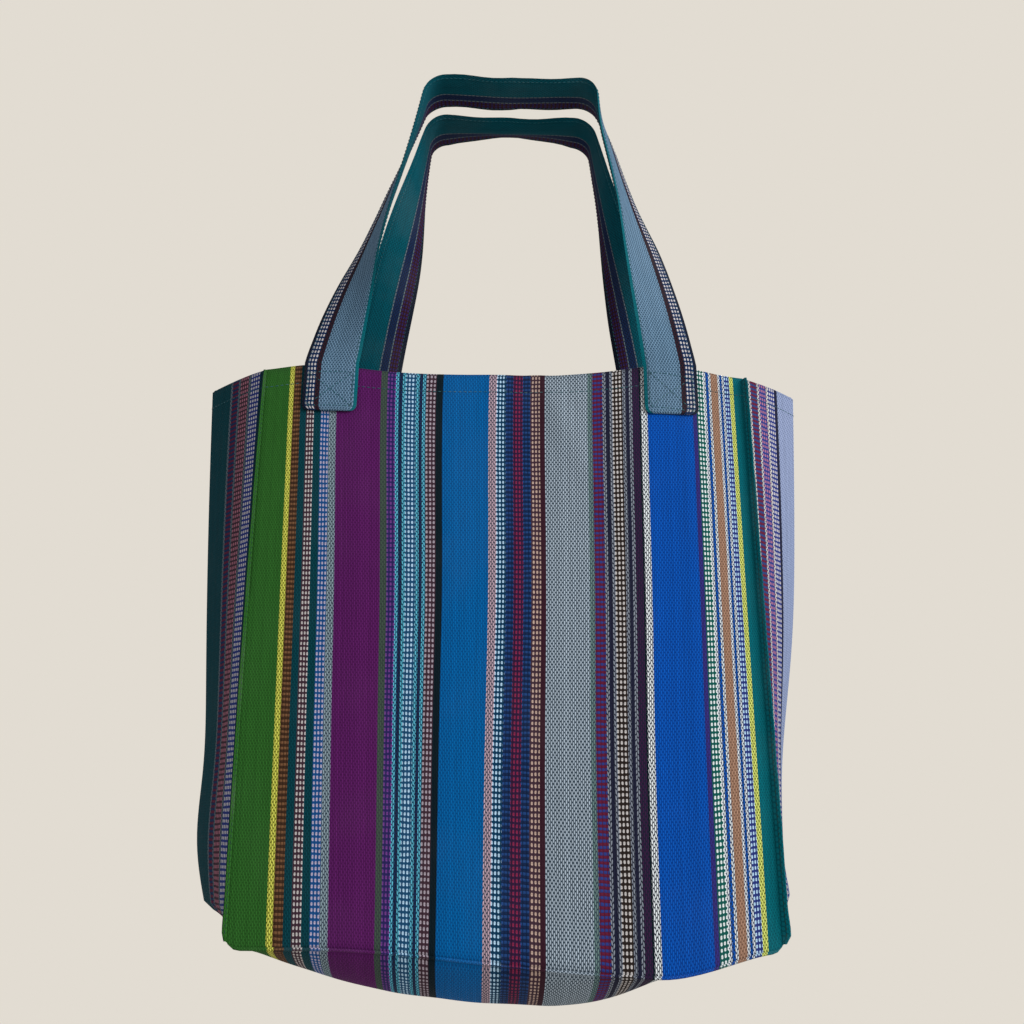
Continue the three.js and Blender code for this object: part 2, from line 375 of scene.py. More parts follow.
def joined(parts):
    # several bmeshes become one, so that their layers stay
    whole = bpy.data.meshes.new("joining")
    total = bmesh.new()
    for part in parts:
        part.to_mesh(whole)
        part.free()
        total.from_mesh(whole)
    bpy.data.meshes.remove(whole)
    return total


def finished(mesh, name, material, sharpAngle=None):
    data = bpy.data.meshes.new(name)
    mesh.to_mesh(data)
    mesh.free()
    if sharpAngle:
        data.set_sharp_from_angle(angle=math.radians(sharpAngle))
    piece = bpy.data.objects.new(name, data)
    bpy.context.scene.collection.objects.link(piece)
    data.materials.append(material)
    return piece


def thickened(piece, thickness, offset=-1.0):
    solid = piece.modifiers.new("thickness", "SOLIDIFY")
    solid.thickness, solid.offset, solid.use_even_offset = thickness, offset, False
    return piece


# materials
def link(tree, source, target):
    tree.links.new(source, target)


def maths(tree, operation, *values):
    node = tree.nodes.new("ShaderNodeMath")
    node.operation = operation
    for socket, value in zip(node.inputs, values):
        if isinstance(value, (int, float)):
            socket.default_value = value
        else:
            link(tree, value, socket)
    return node.outputs[0]


def ramped(tree, value, low, high, toLow=0.0, toHigh=1.0):
    node = tree.nodes.new("ShaderNodeMapRange")
    node.interpolation_type = "SMOOTHSTEP"
    for socket, number in zip(list(node.inputs)[1:5], (low, high, toLow, toHigh)):
        socket.default_value = number
    link(tree, value, node.inputs[0])
    return node.outputs[0]


def noisy(tree, vector, scale, detail=2.0):
    node = tree.nodes.new("ShaderNodeTexNoise")
    node.inputs["Scale"].default_value, node.inputs["Detail"].default_value = scale, detail
    link(tree, vector, node.inputs["Vector"])
    return node.outputs["Fac"]


def mixColour(tree, factor, first, second, blend="MIX"):
    node = tree.nodes.new("ShaderNodeMix")
    node.data_type, node.blend_type = "RGBA", blend
    for socket, value in ((node.inputs[0], factor), (node.inputs[6], first), (node.inputs[7], second)):
        if isinstance(value, (int, float)):
            socket.default_value = value
        elif isinstance(value, (list, tuple)):
            socket.default_value = (*value[:3], 1)
        else:
            link(tree, value, socket)
    return node.outputs[2]


def tinted(tree, colour, brightness):
    grey = tree.nodes.new("ShaderNodeCombineColor")
    for socket in grey.inputs:
        link(tree, brightness, socket)
    return mixColour(tree, 1.0, colour, grey.outputs[0], "MULTIPLY")


def nodeGroup(name, inputs, outputs):
    tree = bpy.data.node_groups.new(name, "ShaderNodeTree")
    for label, kind, value in inputs:
        socket = tree.interface.new_socket(label, in_out="INPUT", socket_type=kind)
        if value is not None:
            socket.default_value = value
    for label, kind in outputs:
        tree.interface.new_socket(label, in_out="OUTPUT", socket_type=kind)
    return tree, tree.nodes.new("NodeGroupInput").outputs, tree.nodes.new("NodeGroupOutput").inputs


def buildWarpWeave():
    # warp-faced cloth: raised warp ends float over two picks, neighbours half a step apart
    tree, given, made = nodeGroup(
        "warpWeave",
        [("Cloth UV", "NodeSocketVector", None), ("End Pitch", "NodeSocketFloat", 0.00091),
         ("Pick Pitch", "NodeSocketFloat", 0.0014), ("Warp A", "NodeSocketColor", (1, 1, 1, 1)),
         ("Warp B", "NodeSocketColor", (0, 0, 0, 1)), ("Kind", "NodeSocketFloat", 0.0),
         ("Groove Shade", "NodeSocketFloat", 0.34)],
        [("Color", "NodeSocketColor"), ("Height", "NodeSocketFloat"), ("Roughness", "NodeSocketFloat")],
    )

    def times(*values):
        return maths(tree, "MULTIPLY", *values)

    def plus(*values):
        return maths(tree, "ADD", *values)

    def scaled(*values):
        return maths(tree, "MULTIPLY_ADD", *values)

    split = tree.nodes.new("ShaderNodeSeparateXYZ")
    link(tree, given["Cloth UV"], split.inputs[0])
    sway = scaled(noisy(tree, given["Cloth UV"], 190.0), 0.62, -0.31)
    slip = scaled(noisy(tree, given["Cloth UV"], 130.0, 3.0), 0.9, -0.45)
    u = plus(maths(tree, "DIVIDE", split.outputs[0], given["End Pitch"]), sway)
    v = plus(maths(tree, "DIVIDE", split.outputs[1], given["Pick Pitch"]), slip)
    end, pick = maths(tree, "FLOOR", u), maths(tree, "FLOOR", v)
    oddEnd = maths(tree, "FLOORED_MODULO", end, 2.0)
    oddPick = maths(tree, "FLOORED_MODULO", pick, 2.0)

    def hump(value):
        return maths(tree, "SINE", times(maths(tree, "FRACT", value), math.pi))

    def isKind(number):
        return maths(tree, "COMPARE", given["Kind"], number, 0.4)

    ridge = hump(u)
    brick = times(ridge, hump(times(plus(v, oddEnd), 0.5)))
    pair = times(hump(times(u, 0.5)), hump(v))
    evenPick = maths(tree, "SUBTRACT", 1.0, oddPick)
    column = hump(times(u, 0.5))
    oval = times(column, hump(times(v, 0.5)))
    # plaited stripes: neighbouring ends lean opposite ways
    way = scaled(oddEnd, -1.8, 0.9)
    lean = times(maths(tree, "SUBTRACT", maths(tree, "FRACT", u), 0.5), way)
    leaning = plus(plus(v, oddEnd), lean)
    plait = times(ridge, hump(times(leaning, 0.5)))
    masks = [
        (0.0, ramped(tree, brick, 0.12, 0.6)),
        (1.0, ramped(tree, brick, 0.2, 0.62)),
        (2.0, times(evenPick, ramped(tree, column, 0.1, 0.45))),
        (3.0, ramped(tree, oval, 0.46, 0.76)),
        (4.0, ramped(tree, plait, 0.2, 0.55)),
    ]
    chosen = None
    for number, mask in masks:
        part = times(mask, isKind(number))
        chosen = part if chosen is None else plus(chosen, part)
    chosen = maths(tree, "MINIMUM", chosen, 1.0)
    paired = maths(tree, "MAXIMUM", isKind(2.0), isKind(3.0))
    single = times(brick, maths(tree, "SUBTRACT", 1.0, paired))
    height = plus(single, times(pair, paired))
    # Groove Shade sets how far the colour is darkened in the hollows between the floats: painted shade, less
    # of it on plain stripes
    depth = times(given["Groove Shade"], scaled(isKind(0.0), -0.55, 1.0))

    streak = tree.nodes.new("ShaderNodeTexWhiteNoise")
    streak.noise_dimensions = "1D"
    link(tree, end, streak.inputs["W"])
    slub = tree.nodes.new("ShaderNodeCombineXYZ")
    link(tree, times(split.outputs[0], 900.0), slub.inputs[0])
    link(tree, times(split.outputs[1], 60.0), slub.inputs[1])
    thick = noisy(tree, slub.outputs[0], 1.0, 3.0)
    shade = scaled(streak.outputs["Value"], 0.16, 0.86)
    shade = plus(shade, scaled(thick, 0.3, -0.15))
    # darker where the floats dip, lighter on their crowns: painted shade in the hollows of the weave
    grooveShadeFloor = maths(tree, "SUBTRACT", 1.0, depth)
    grooveShade = plus(grooveShadeFloor, times(ramped(tree, height, 0.0, 0.55), depth))
    cloth = mixColour(tree, chosen, given["Warp B"], given["Warp A"])
    link(tree, tinted(tree, cloth, times(shade, grooveShade)), made["Color"])
    link(tree, plus(height, times(thick, 0.35)), made["Height"])
    link(tree, scaled(thick, 0.14, 0.76), made["Roughness"])
    return tree


def buildSoftWear():
    # handling: paler fuzz in patches and faint lint
    tree, given, made = nodeGroup(
        "softWear",
        [("Color", "NodeSocketColor", (1, 1, 1, 1)), ("Place", "NodeSocketVector", None),
         ("Amount", "NodeSocketFloat", 0.1)],
        [("Color", "NodeSocketColor")],
    )
    patches = ramped(tree, noisy(tree, given["Place"], 26.0, 4.0), 0.42, 0.72)
    lint = ramped(tree, noisy(tree, given["Place"], 1500.0, 2.0), 0.66, 0.82)
    fuzz = maths(tree, "MAXIMUM", maths(tree, "MULTIPLY", patches, 0.7), lint)
    mask = maths(tree, "MULTIPLY", fuzz, given["Amount"])
    link(tree, mixColour(tree, mask, given["Color"], yarn(214, 210, 204)), made["Color"])
    return tree


groups = {"weave": buildWarpWeave(), "wear": buildSoftWear()}


def placedGroup(tree, group, values):
    node = tree.nodes.new("ShaderNodeGroup")
    node.node_tree = group
    for label, value in values.items():
        if isinstance(value, (int, float)):
            node.inputs[label].default_value = value
        else:
            link(tree, value, node.inputs[label])
    return node


def startMaterial(name, sheen):
    material = bpy.data.materials.new(name)
    material.use_nodes = True
    shader = material.node_tree.nodes["Principled BSDF"]
    shader.inputs["Sheen Weight"].default_value = sheen
    shader.inputs["Sheen Roughness"].default_value = 0.5
    shader.inputs["Specular IOR Level"].default_value = 0.05
    return material, material.node_tree, shader


def bumped(tree, shader, height, strength, distance):
    bump = tree.nodes.new("ShaderNodeBump")
    bump.inputs["Strength"].default_value, bump.inputs["Distance"].default_value = strength, distance
    link(tree, height, bump.inputs["Height"])
    link(tree, bump.outputs[0], shader.inputs["Normal"])


def clothMaterial(name, settings):
    material, tree, shader = startMaterial(name, settings["sheen"])
    where = tree.nodes.new("ShaderNodeTexCoord")
    cloth = tree.nodes.new("ShaderNodeUVMap")
    cloth.uv_map = "weaveUV"
    stripes = {}
    for label in ("warpA", "warpB", "weaveKind"):
        stripes[label] = tree.nodes.new("ShaderNodeAttribute")
        stripes[label].attribute_name = label
    weave = placedGroup(tree, groups["weave"], {
        "Cloth UV": cloth.outputs[0], "End Pitch": settings["endPitch"], "Pick Pitch": settings["pickPitch"],
        "Warp A": stripes["warpA"].outputs["Color"], "Warp B": stripes["warpB"].outputs["Color"],
        "Kind": stripes["weaveKind"].outputs["Fac"], "Groove Shade": settings["grooveShade"],
    })
    wear = placedGroup(tree, groups["wear"], {
        "Color": weave.outputs["Color"], "Place": where.outputs["Object"], "Amount": settings["wear"],
    })
    link(tree, wear.outputs["Color"], shader.inputs["Base Color"])
    link(tree, weave.outputs["Roughness"], shader.inputs["Roughness"])
    bumped(tree, shader, weave.outputs["Height"], settings["bump"], 0.4 * mm)
    return material


def threadMaterial(name, colour):
    # two-ply sewing thread, its twist running across each stitch
    material, tree, shader = startMaterial(name, 0.2)
    where = tree.nodes.new("ShaderNodeTexCoord")
    ply = tree.nodes.new("ShaderNodeTexWave")
    ply.bands_direction = "DIAGONAL"
    ply.inputs["Scale"].default_value, ply.inputs["Distortion"].default_value = 900.0, 1.5
    link(tree, where.outputs["Object"], ply.inputs["Vector"])
    # the thread colour is darkened where the twist bands dip between the plies: painted shade in the grooves
    # of the twist
    shade = maths(tree, "MULTIPLY_ADD", ply.outputs["Fac"], 0.4, 0.7)
    wear = placedGroup(tree, groups["wear"], {
        "Color": tinted(tree, colour, shade),
        "Place": where.outputs["Object"], "Amount": 0.12,
    })
    link(tree, wear.outputs["Color"], shader.inputs["Base Color"])
    link(tree, ramped(tree, ply.outputs["Fac"], 0.0, 1.0, 0.8, 0.62), shader.inputs["Roughness"])
    bumped(tree, shader, ply.outputs["Fac"], 0.5, 0.15 * mm)
    return material


clothLooks = {
    "endPitch": 0.91 * mm, "pickPitch": 1.4 * mm, "grooveShade": 0.3, "sheen": 0.01, "wear": 0.006, "bump": 0.45,
}
bagCloth = clothMaterial("woven_cotton", clothLooks)
hemCloth = clothMaterial("turned_hem_cotton", {**clothLooks, "wear": 0.02})
tuckCloth = clothMaterial("stitched_fold_cotton", {**clothLooks, "wear": 0.04, "bump": 0.4})
strapCloth = clothMaterial("strap_cotton", {**clothLooks, "endPitch": 0.914 * mm, "wear": 0.02})
tealThread = threadMaterial("teal_thread", yarn(24, 88, 100))
darkThread = threadMaterial("dark_green_thread", yarn(14, 56, 48))
print("materials built")


# bag shell
frontColumns = columnsOf(frontDraft, 2 * bag["halfWidth"])
gussetColumns = {
    -1: columnsOf(leftGussetDraft, bag["gussetHalf"], 3.2 * mm),
    1: columnsOf(rightGussetDraft, bag["gussetHalf"], 3.2 * mm),
}


def edgesOf(columns):
    return [column.start for column in columns] + [columns[-1].end]


# both gussets share one set of stations, so that the base rows can meet them
gussetEdges = sorted({round(value, 7) for side in (-1, 1) for value in edgesOf(gussetColumns[side])})
gussetEdges = [
    value for i, value in enumerate(gussetEdges) if i == 0 or value - gussetEdges[i - 1] > 0.2 * mm
]


def restationed(columns):
    made = []
    for start, end in zip(gussetEdges, gussetEdges[1:]):
        middle = (start + end) / 2
        stripe = next(column.stripe for column in columns if column.start <= middle <= column.end)
        made.append(Column(start, end, stripe))
    return made


gussetColumns = {side: restationed(columns) for side, columns in gussetColumns.items()}
frontEdges = edgesOf(frontColumns)
gussetShares = [value / gussetEdges[-1] for value in gussetEdges]
panelHeights = [bag["height"] * row / bag["panelRows"] for row in range(bag["panelRows"] + 1)]


def buildShell():
    stations = [("front", height) for height in reversed(panelHeights)]
    stations += [("base", share / 2) for share in gussetShares[1:]]
    stations += [("base", 1 - share / 2) for share in reversed(gussetShares[1:-1])]
    stations += [("back", height) for height in panelHeights]
    lengths = []
    for part, value in stations:
        if part == "front":
            lengths.append(bag["height"] - value)
        elif part == "base":
            lengths.append(bag["height"] + value * bag["baseDepth"])
        else:
            lengths.append(bag["height"] + bag["baseDepth"] + value)

    def placeMain(i, j):
        x = frontEdges[i] - bag["halfWidth"]
        part, value = stations[j]
        if part == "base":
            return basePoint(x, value)
        return panelPoint(-1 if part == "front" else 1, x, value)

    parts = [clothGrid(frontColumns, stations, placeMain, lengths)]
    for side in (-1, 1):
        for face in (-1, 1):
            def placeWing(i, j, side=side, face=face):
                if j == 0:
                    share = gussetShares[i] / 2
                    return basePoint(side * bag["halfWidth"], share if face < 0 else 1 - share)
                return gussetPoint(side, face, gussetShares[i], panelHeights[j])
            parts.append(clothGrid(gussetColumns[side], panelHeights, placeWing, panelHeights))
    mesh = joined(parts)
    bmesh.ops.remove_doubles(mesh, verts=mesh.verts, dist=0.01 * mm)
    bmesh.ops.recalc_face_normals(mesh, faces=mesh.faces)
    # a face in the middle of the front shows which way the normals run
    target = Vector((0, bag["frontY"], bag["bottomZ"] + 0.15))
    middle = min(mesh.faces, key=lambda face: (face.calc_center_median() - target).length)
    if middle.normal.y > 0:
        bmesh.ops.reverse_faces(mesh, faces=mesh.faces)
    rim = bag["topZ"] - 0.02
    loose = [edge for edge in mesh.edges if edge.is_boundary and min(v.co.z for v in edge.verts) < rim]
    print("shell faces", len(mesh.faces), "open edges below the mouth", len(loose))
    return thickened(finished(mesh, "bag_shell", bagCloth, 42), bag["clothThickness"])


shell = buildShell()


# turned hem
def ringStations():
    # round the mouth: front, right gusset, back, left gusset; each stripe with its place at a height
    ring = []

    def addPanel(face, i, edge):
        x = edge - bag["halfWidth"]
        ring.append((frontColumns[i].stripe, lambda height: panelPoint(face, x, height)))

    def addGusset(side, face, i, share):
        ring.append((gussetColumns[side][i].stripe, lambda height: gussetPoint(side, face, share, height)))

    outward, inward = range(len(gussetShares) - 1), range(len(gussetShares) - 1, 0, -1)
    for i in range(len(frontEdges) - 1):
        addPanel(-1, i, frontEdges[i])
    for i in outward:
        addGusset(1, -1, i, gussetShares[i])
    for i in inward:
        addGusset(1, 1, i - 1, gussetShares[i])
    for i in range(len(frontEdges) - 1, 0, -1):
        addPanel(1, i - 1, frontEdges[i])
    for i in outward:
        addGusset(-1, 1, i, gussetShares[i])
    for i in inward:
        addGusset(-1, -1, i - 1, gussetShares[i])
    return ring


mouthRing = ringStations()


def ringAt(height, inward):
    # the mouth's outline at a height, moved inward by a mitred offset
    points = [place(height) for stripe, place in mouthRing]
    moved = []
    for i, point in enumerate(points):
        before, after = points[i - 1], points[(i + 1) % len(points)]
        first = (point - before).xy.normalized()
        second = (after - point).xy.normalized()
        normals = [Vector((-way.y, way.x)) for way in (first, second)]
        middle = (normals[0] + normals[1]).normalized()
        reach = inward / max(middle.dot(normals[0]), 0.6)
        moved.append(point + Vector((middle.x, middle.y, 0)) * reach)
    return moved


# levels go up the hem: how far below the mouth and how far inside the shell, in mm
hem = {
    "levels": ((12, 1.25), (9, 1.3), (5, 1.3), (1.5, 1.25), (0, 1.05)),
    "lengths": (0, 3, 7, 10.5, 12, 13), "crownInset": 0.5 * mm, "crownRise": 0.7 * mm, "thickness": 0.9 * mm,
}


def buildHem():
    top = bag["height"]
    rings = [ringAt(top - below * mm, offset * mm) for below, offset in hem["levels"]]
    crown = ringAt(top, hem["crownInset"])
    for point in crown:
        point.z += hem["crownRise"]
    rings.append(crown)
    count = len(mouthRing)
    columns, at = [], 0.0
    for i, (stripe, place) in enumerate(mouthRing):
        span = (rings[0][(i + 1) % count] - rings[0][i]).length
        columns.append(Column(at, at + span, stripe))
        at += span
    lengths = [length * mm for length in hem["lengths"]]
    mesh = clothGrid(columns, rings, lambda i, j: rings[j][i % count], lengths)
    bmesh.ops.remove_doubles(mesh, verts=mesh.verts, dist=0.01 * mm)
    bmesh.ops.recalc_face_normals(mesh, faces=mesh.faces)
    sample = mesh.faces[:][0]
    if sample.normal.y * (0.01 - sample.calc_center_median().y) < 0:
        bmesh.ops.reverse_faces(mesh, faces=mesh.faces)
    return thickened(finished(mesh, "top_hem", hemCloth), hem["thickness"], 1.0)


topHem = buildHem()
print("shell and hem built")


# stitched folds
tuck = {
    "width": {-1: 2.2 * mm, 1: 4.2 * mm}, "bottomWidth": 1.1 * mm, "thickness": 1.5 * mm,
    "rows": 72, "stitchShare": 0.55,
}
tuckSection = [(-0.06, -0.5), (0.5, -0.5), (0.85, -0.42), (1.0, 0.0), (0.85, 0.42), (0.5, 0.5), (-0.06, 0.5)]


def cornerFrame(side, face, height):
    corner = panelPoint(face, side * bag["halfWidth"], height)
    fold = foldPoint(side, height)
    if height < 2 * mm:
        fold = foldPoint(side, 20 * mm)
    direction = Vector((fold.x - corner.x, fold.y - corner.y, 0))
    direction = direction.normalized() if direction.length > 1e-6 else Vector((0, -face, 0))
    gussetOut = Vector((side * abs(direction.y), face * abs(direction.x), 0))
    out = (Vector((0, face, 0)) + gussetOut).normalized()
    return corner, out, Vector((-side * abs(out.y), face * abs(out.x), 0)).normalized()


def buildCornerTuck(side, face):
    # the flank towards the panel carries its stripe, the other flank the gusset's
    edgeStripe = frontDraft[0] if side < 0 else frontDraft[-1]
    gussetStripe = (leftGussetDraft if side < 0 else rightGussetDraft)[0]
    last = len(tuckSection) - 1
    columns = []
    for i in range(last + 1):
        stripe = edgeStripe if i >= 3 else gussetStripe
        columns.append(Column(i * 0.9 * mm, (i + 1) * 0.9 * mm, stripe))
    heights = [bag["height"] * row / tuck["rows"] for row in range(tuck["rows"] + 1)]

    def place(i, j):
        height = heights[j]
        corner, out, towardsPanel = cornerFrame(side, face, height)
        reach, flank = tuckSection[i % (last + 1)]
        wobble = 1 + 0.12 * noise.noise(Vector((height * 60, side, face)))
        fromEnd = min(height + 0.4 * mm, bag["height"] - height + 2 * mm, 6 * mm) / (6 * mm)
        end = math.sqrt(1 - (1 - fromEnd) ** 2)
        lifted = out * reach * tuck["width"][side] * wobble * end
        return corner + lifted + towardsPanel * flank * tuck["thickness"]

    mesh = clothGrid(columns, heights, place, heights)
    closeTube(mesh)
    return finished(mesh, f"{faceNames[face]}_{sideNames[side]}_fold_ridge", tuckCloth, 60)


def closeTube(mesh):
    bmesh.ops.remove_doubles(mesh, verts=mesh.verts, dist=0.005 * mm)
    ends = [edge for edge in mesh.edges if edge.is_boundary]
    bmesh.ops.holes_fill(mesh, edges=ends, sides=0)
    bmesh.ops.recalc_face_normals(mesh, faces=mesh.faces)


def buildBaseTuck(face):
    # the grid's columns follow the stripes, its rows go round the section
    last = len(tuckSection)

    def place(i, j):
        x = mixed(-1, 1, frontEdges[i] / frontEdges[-1]) * (bag["halfWidth"] - 1.2 * mm)
        fold = panelPoint(face, x, 0)
        out = Vector((0, face, -1)).normalized()
        up = Vector((0, face, 1)).normalized()
        reach, flank = tuckSection[j % last]
        wobble = 1 + 0.15 * noise.noise(Vector((x * 50, face, 3.3)))
        wobble *= easing((bag["halfWidth"] - abs(x)) / (7 * mm))
        lifted = out * reach * tuck["bottomWidth"] * wobble
        return fold + lifted + up * flank * tuck["thickness"] * (0.3 + 0.7 * wobble)

    rows = list(range(last + 1))
    mesh = clothGrid(frontColumns, rows, place, [row * 0.8 * mm for row in rows])
    closeTube(mesh)
    return finished(mesh, f"{faceNames[face]}_bottom_ridge", tuckCloth, 60)


seam = {"low": 38 * mm, "belowMouth": 13 * mm, "rows": 48, "columns": 4, "thickness": 0.8 * mm}


def buildSideSeam(side):
    # the seam allowance lying inside the front half of the gusset
    low, high = seam["low"], bag["height"] - seam["belowMouth"]
    heights = [mixed(low, high, row / seam["rows"]) for row in range(seam["rows"] + 1)]
    stripe = (leftGussetDraft if side < 0 else rightGussetDraft)[-1]
    columns = [Column(i * 2 * mm, (i + 1) * 2 * mm, stripe) for i in range(seam["columns"])]

    def place(i, j):
        height = heights[j]
        corner, fold = panelPoint(-1, side * bag["halfWidth"], height), foldPoint(side, height)
        way = (corner - fold).normalized()
        inner = Vector((-side * abs(way.y), abs(way.x), 0)).normalized()
        run = (5 + 2 * i) * mm
        point = gussetPoint(side, -1, 1 - run / (corner - fold).length, height)
        return point + inner * (1.5 + 0.25 * math.sin(height * 260 + i)) * mm

    mesh = clothGrid(columns, heights, place, heights)
    bmesh.ops.recalc_face_normals(mesh, faces=mesh.faces)
    return thickened(finished(mesh, f"{sideNames[side]}_seam_allowance", bagCloth), seam["thickness"], 0.0)


cornerTucks = {(side, face): buildCornerTuck(side, face) for side in (-1, 1) for face in (-1, 1)}
baseTucks = {face: buildBaseTuck(face) for face in (-1, 1)}
sideSeams = {side: buildSideSeam(side) for side in (-1, 1)}
print("ridges and seams built")


# straps
strap = {
    "width": 32 * mm, "thickness": 2.4 * mm, "endHeight": 29 * mm, "gap": 0.3 * mm,
    "bearingRadius": 13 * mm, "bearingSpacing": 89 * mm, "bearingX": 2.5 * mm,
    "cup": 2.2 * mm, "bow": 3 * mm, "endRound": 4 * mm, "stitchInset": 2.7 * mm,
}
# each end's turns pair a share of the rise with a share of the quarter turn to lie over its bearing
strapShapes = {
    -1: {
        "ends": (-103 * mm, 98 * mm), "topY": -15 * mm, "arch": 0.0,
        "turns": (((0, 0), (0.14, 0.2), (0.39, 0.6), (0.52, 0.7), (0.7, 0.79), (1, 1)),
                  ((0, 0), (0.37, 0.35), (0.53, 0.56), (0.62, 0.65), (0.86, 0.75), (1, 1))),
    },
    1: {
        "ends": (-87 * mm, 94 * mm), "topY": 25 * mm, "arch": 10 * mm,
        "turns": (((0.25, 0), (0.45, 0.18), (0.62, 0.5), (0.8, 0.82), (1, 1)),
                  ((0.05, 0), (0.28, 0.16), (0.51, 0.5), (0.75, 0.84), (0.98, 1))),
    },
}
bearingZ = 0.0
strapStart = bag["topZ"] + 1 * mm
strapDrop = bearingZ - bag["topZ"]


def between(value, stations):
    if value <= stations[0][0]:
        return stations[0][1]
    for (low, before), (high, after) in zip(stations, stations[1:]):
        if value <= high:
            return mixed(before, after, (value - low) / (high - low))
    return stations[-1][1]


def turnAt(rise, stations):
    samples = [between(rise + step, stations) for step in (-0.06, -0.03, 0.0, 0.03, 0.06)]
    return math.pi / 2 * sum(samples) / len(samples)


def strapSide(side, endX, startZ):
    # one side of the strap from the panel's top edge to the middle of its top, in the XZ plane
    radius = strap["bearingRadius"] + strap["thickness"] / 2
    centreX = side * strap["bearingSpacing"] / 2 + strap["bearingX"]
    centre = Vector((centreX, bearingZ - strap["bearingRadius"]))
    start = Vector((endX, startZ))
    away = start - centre
    touch = math.atan2(away.y, side * away.x) + math.acos(radius / away.length)

    def onArc(angle):
        return centre + Vector((side * math.cos(angle), math.sin(angle))) * radius

    points = []
    for i in range(44):
        share = i / 44
        point = start.lerp(onArc(touch), share)
        point.x += side * strap["bow"] * math.sin(math.pi * share) * (1 - share)
        points.append(point)
    points += [onArc(mixed(touch, math.pi / 2, i / 10)) for i in range(11)]
    return points


def strapPath(face, shape):
    starts = [panelPoint(face, endX, bag["height"]).z + 1 * mm for endX in shape["ends"]]
    left = strapSide(-1, shape["ends"][0], starts[0])
    right = strapSide(1, shape["ends"][1], starts[1])
    top = []
    for i in range(1, 14):
        share = i / 14
        point = left[-1].lerp(right[-1], share)
        point.y -= 1.6 * mm * math.sin(math.pi * share) ** 2
        top.append(point)
    return left + top + list(reversed(right)), len(left) + 6


def strapSection():
    # outer face then inner face, round the closed section: across, through, stripe
    outer = columnsOf(strapOuterDraft, strap["width"], 3 * mm)
    inner = columnsOf(strapInnerDraft, strap["width"], 3 * mm)
    half = strap["width"] / 2
    ring = [(column.start - half, 1, column) for column in outer]
    ring += [(half - column.start, -1, column) for column in inner]
    return ring


def strapRows(loopLength, middleIndex):
    # rows up the first sewn end, round the loop and down the second sewn end
    low, top = bag["height"] - strap["endHeight"], bag["height"]
    rounding = ((0.0, 0.0), (0.3, 0.5), (0.8, 0.85), (1.6, 1.0), (2.6, 1.0))
    sewn = [(low + up * mm, share) for up, share in rounding]
    sewn += [(mixed(low + 4 * mm, top, i / 11), 1.0) for i in range(12)]
    rows = [("sewn", 0, height, share) for height, share in sewn]
    rows += [("loop", 0 if i <= middleIndex else 1, i, 1.0) for i in range(loopLength)]
    return rows + [("sewn", 1, height, share) for height, share in reversed(sewn)]


def strapFrame(face, row, loop):
    # the middle of the strap at a row, with its directions across and outward, and the share risen
    shape = strapShapes[face]
    kind, end, value = row[:3]
    endX = shape["ends"][end]
    way = 1 if end == 0 else -1
    lift = face * (strap["gap"] + strap["thickness"] / 2)
    if kind == "sewn":
        surface = panelPoint(face, endX, value)
        centre = Vector((endX, surface.y + lift, surface.z))
        return centre, Vector((-face * way, 0, 0)), Vector((0, face, 0)), 0.0
    before, after = loop[max(value - 1, 0)], loop[min(value + 1, len(loop) - 1)]
    rise = (loop[value].y - strapStart) / strapDrop
    tangent = Vector((0, way)).lerp((after - before).normalized(), easing(rise / 0.15)).normalized()
    angle = turnAt(rise, shape["turns"][end]) * easing(rise / 0.08)
    plane = Vector((-tangent.y, 0, tangent.x))
    across = plane * face * math.cos(angle) - Vector((0, 1, 0)) * math.sin(angle)
    normal = plane * math.sin(angle) + Vector((0, face, 0)) * math.cos(angle)
    y = mixed(panelPoint(face, endX, bag["height"]).y + lift, shape["topY"], easing(rise))
    return Vector((loop[value].x, y, loop[value].y)), across, normal, rise


def strapSurface(face, row, frame, length, a, outward):
    # a place on the strap, across it by a and out from its middle
    centre, across, normal, rise = frame
    kind, value = row[0], row[2]
    half = strap["width"] / 2
    if kind == "sewn":
        curve = strap["endRound"]
        short = max(curve - (value - bag["height"] + strap["endHeight"]), 0.0)
        inset = curve - math.sqrt(max(curve ** 2 - short ** 2, 0.0))
        x = centre.x + across.x * a * (half - inset) / half
        y = panelPoint(face, x, value).y + face * (strap["gap"] + strap["thickness"] / 2 + outward)
        return Vector((x, y, centre.z))
    ease = math.sin(math.pi * min(max(rise, 0.0), 1.0))
    out = outward + strap["cup"] * ((a / half) ** 2 - 0.4) * ease
    out += 0.35 * mm * noise.noise(Vector((a * 60, length * 28, face))) * ease
    nearTop = easing((rise - 0.9) / 0.1)
    out += 0.6 * mm * math.sin(length * 150 + face) * easing((abs(a) / half - 0.4) / 0.6) * nearTop
    # between its bearings the far edge of the back strap arches up
    toMiddle = math.cos(math.pi * min(abs(centre.x - strap["bearingX"]) / 0.09, 0.5)) if rise > 0.97 else 0.0
    out += strapShapes[face]["arch"] * toMiddle * easing((0.3 - a / half) / 1.3)
    return centre + across * a + normal * out


def buildStrap(face):
    loop, middleIndex = strapPath(face, strapShapes[face])
    rows = strapRows(len(loop), middleIndex)
    ring = strapSection()
    half = strap["width"] / 2
    frames = [strapFrame(face, row, loop) for row in rows]
    lengths = [0.0]
    for first, second in zip(frames, frames[1:]):
        lengths.append(lengths[-1] + (second[0] - first[0]).length)

    def place(i, j):
        a, through, column = ring[i % len(ring)]
        edge = max(1 - (abs(a) / half) ** 8, 0.0)
        outward = through * strap["thickness"] / 2 * edge * rows[j][3]
        return strapSurface(face, rows[j], frames[j], lengths[j], a, outward)

    mesh = clothGrid([column for a, through, column in ring], rows, place, lengths)
    closeTube(mesh)
    return finished(mesh, f"{faceNames[face]}_strap", strapCloth, 50), frames, rows, lengths


